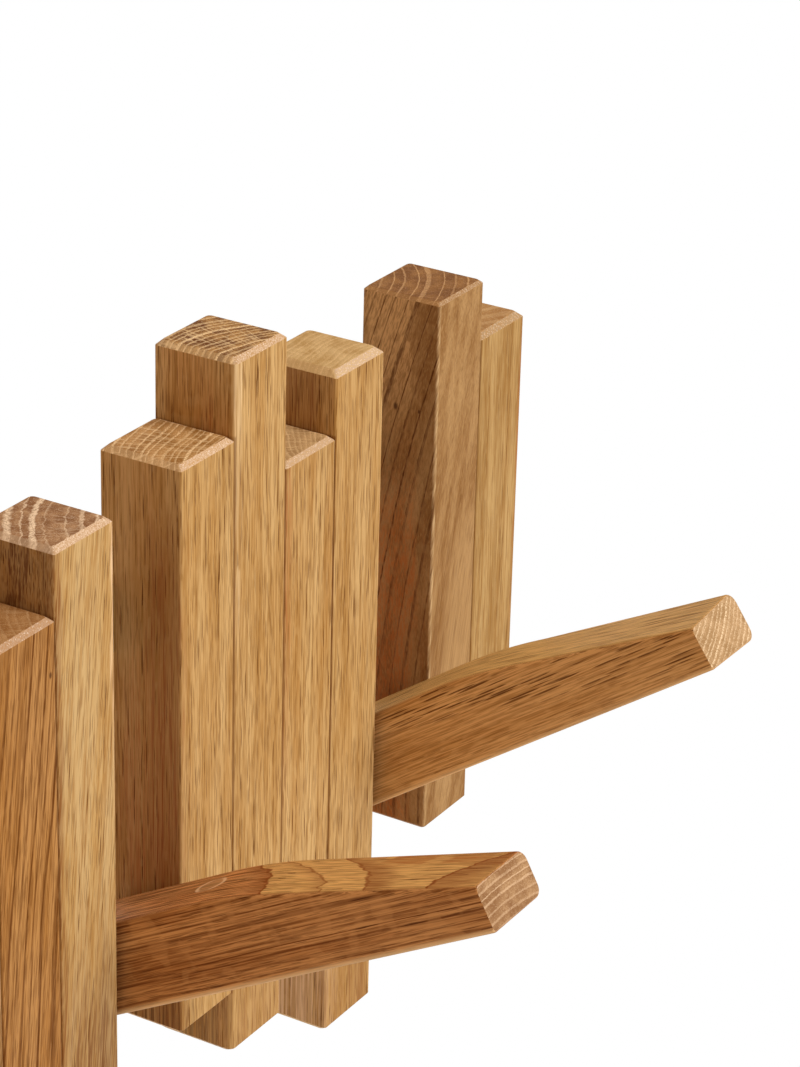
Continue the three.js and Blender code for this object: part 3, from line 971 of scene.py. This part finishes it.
# The marks of one hook alone: where its back turns golden, where its taper cuts through the rings,
# the pale fleck, and brown wood along the back's right side
HOOK_MARKS = {
    2: {
        "golden": (58, 0.02, (236, 186, 112)),
        "crossings": (
            (58, 0.02, 0.8, 0.44, -7),
            (92, 0.03, 0.9, 0.5, -7),
            (118, -0.03, 0.7, 0.4, 12),
        ),
    },
    3: {
        "golden": (67, 0.03, (240, 192, 116)),
        "crossings": (
            (67, 0.03, 0.85, 0.47, -7),
            (86, 0.05, 0.6, 0.33, -7),
            (100, 0.04, 0.6, 0.6, 13),
            (120, -0.03, 0.9, 0.6, 24),
        ),
        "fleck": (1.5, 41.5, 4, 4.4),
        "stripes": ((12, 7, 13, 48, 34, 0.9, RED_HEART_AND_SHADE),),
    },
}
# The hooks left of the photograph come from this many millimetres further along the same wood
UNSEEN_HOOKS = (1, 2)
FURTHER_ALONG_HOOK = 300.0


def build_hooks():
    """Every hook, in its kind of wood and with its own marks."""
    for number in range(1, HOOK_COUNT + 1):
        look = RED_HOOK if number in RED_HOOKS else OLIVE_HOOK
        look = look | HOOK_MARKS.get(number, {})
        shift = FURTHER_ALONG_HOOK if number in UNSEEN_HOOKS else 0.0
        build_hook(number, oak(f"hook_{number}_oak", HOOK_LENGTH, shift=shift, **look))


def dress_metal():
    """The rails, pins, washers and screws keep their CAD shapes and get their finishes."""
    rail = steel("rail_steel", (176, 178, 178), 0.38, (40, 3000, 3000))
    pin = steel("pin_steel", (196, 197, 196), 0.28, (60, 2500, 2500))
    washer = steel("washer_steel", (104, 106, 108), 0.45, (900, 900, 900))
    screw = steel("screw_steel", (150, 148, 140), 0.35, (1500, 1500, 1500))
    finishes = {
        "upper_rail": rail,
        "lower_rail": rail,
        "hook_pin": pin,
        "washer": washer,
        "upper_screw": screw,
        "lower_screw": screw,
    }
    for name, node in frame["nodes"].items():
        for start, material in finishes.items():
            if name.startswith(start):
                dress(node, material)


def add_camera():
    """A camera in the place from which the photograph was taken."""
    data = bpy.data.cameras.new("camera")
    data.lens = CAMERA_LENS
    data.sensor_width = CAMERA_SENSOR
    data.clip_start = CAMERA_NEAREST
    camera = bpy.data.objects.new("camera", data)
    bpy.context.scene.collection.objects.link(camera)
    turn = Matrix.Rotation(-math.radians(CAMERA_TURN), 4, "Z")
    tilt = Matrix.Rotation(math.radians(90 - CAMERA_TILT), 4, "X")
    roll = Matrix.Rotation(math.radians(CAMERA_ROLL), 4, "Z")
    camera.matrix_world = Matrix.Translation(CAMERA_PLACE) @ turn @ tilt @ roll
    bpy.context.scene.camera = camera


def white_where_seen(graph, lighting, white):
    """White where the camera, a gloss or glass looks, and the other shader for the light it gives."""
    path = graph.add("ShaderNodeLightPath").outputs
    direct = graph.math("MAXIMUM", path["Is Camera Ray"], path["Is Glossy Ray"])
    seen = graph.math("MAXIMUM", direct, path["Is Transmission Ray"])
    inputs = {0: seen, 1: lighting.outputs[0], 2: white.outputs[0]}
    return graph.add("ShaderNodeMixShader", inputs).outputs[0]


def light_scene():
    """A soft sun in a warm dome, seen as white."""
    world = bpy.data.worlds.new("studio")
    bpy.context.scene.world = world
    graph = Graph(world)
    dome = graph.add("ShaderNodeBackground", {"Color": DOME_COLOUR, "Strength": DOME_STRENGTH})
    white = graph.add("ShaderNodeBackground", {"Color": WHITE, "Strength": 1.0})
    graph.add("ShaderNodeOutputWorld", {"Surface": white_where_seen(graph, dome, white)})

    data = bpy.data.lights.new("key", "SUN")
    data.energy = SUN_STRENGTH
    data.color = SUN_COLOUR
    data.angle = math.radians(SUN_WIDTH)
    key = bpy.data.objects.new("key", data)
    bpy.context.scene.collection.objects.link(key)
    key.rotation_mode = "QUATERNION"
    key.rotation_quaternion = Vector(SUN_FROM).to_track_quat("Z", "Y")


def add_floor():
    """A white ground far below the rack."""
    mesh = bmesh.new()
    bmesh.ops.create_grid(mesh, x_segments=8, y_segments=8, size=FLOOR_REACH)
    floor = object_from(mesh, "floor")
    floor.location.z = -HANGING_HEIGHT
    material = bpy.data.materials.new("floor_white")
    graph = Graph(material)
    matt = graph.add("ShaderNodeBsdfDiffuse", {"Color": FLOOR_WHITE})
    glow = graph.add("ShaderNodeEmission", {"Color": WHITE, "Strength": 1.0})
    graph.add("ShaderNodeOutputMaterial", {"Surface": white_where_seen(graph, matt, glow)})
    dress(floor, material)


add_camera()
build_bars()
build_hooks()
dress_metal()
add_floor()
light_scene()
bpy.context.scene.view_settings.view_transform = "Standard"
